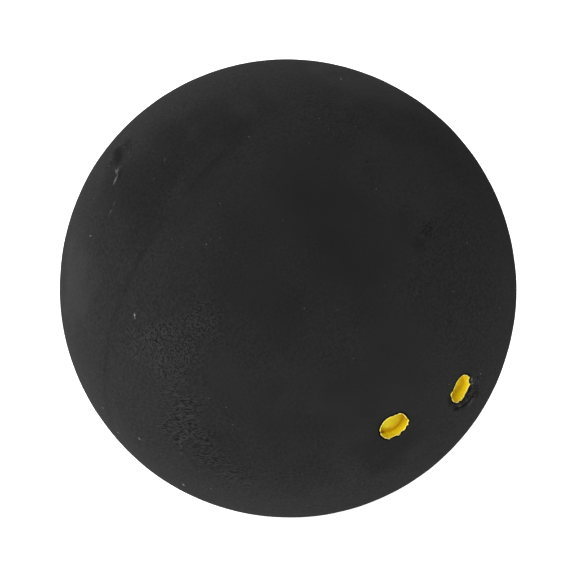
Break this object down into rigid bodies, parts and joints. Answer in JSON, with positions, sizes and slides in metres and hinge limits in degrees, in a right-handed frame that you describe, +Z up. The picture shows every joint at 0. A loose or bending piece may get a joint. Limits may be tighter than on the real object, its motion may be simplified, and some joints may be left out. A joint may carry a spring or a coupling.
{
  "type": "squash ball",
  "caption": "Hollow black rubber squash ball of two bonded half shells, with a pair of small yellow painted dots moulded into one side.",
  "frame": {"origin": "centre of the ball", "axes": "+Y along the moulding axis, from the dotted front (-Y) to the plain back; the seam lies in the XZ plane; the two dots lie side by side along X on the -Y side; +Z up"},
  "size_m": [0.04, 0.04, 0.04],
  "materials": {
    "rubber": "matte",
    "rubber_solution": "satin",
    "yellow_paint": "satin"
  },
  "bodies": {
    "root": {"half_shell_front": "rubber", "half_shell_back": "rubber", "seam_adhesive": "rubber_solution", "dot_left": "yellow_paint", "dot_right": "yellow_paint"}
  },
  "joints": []
}
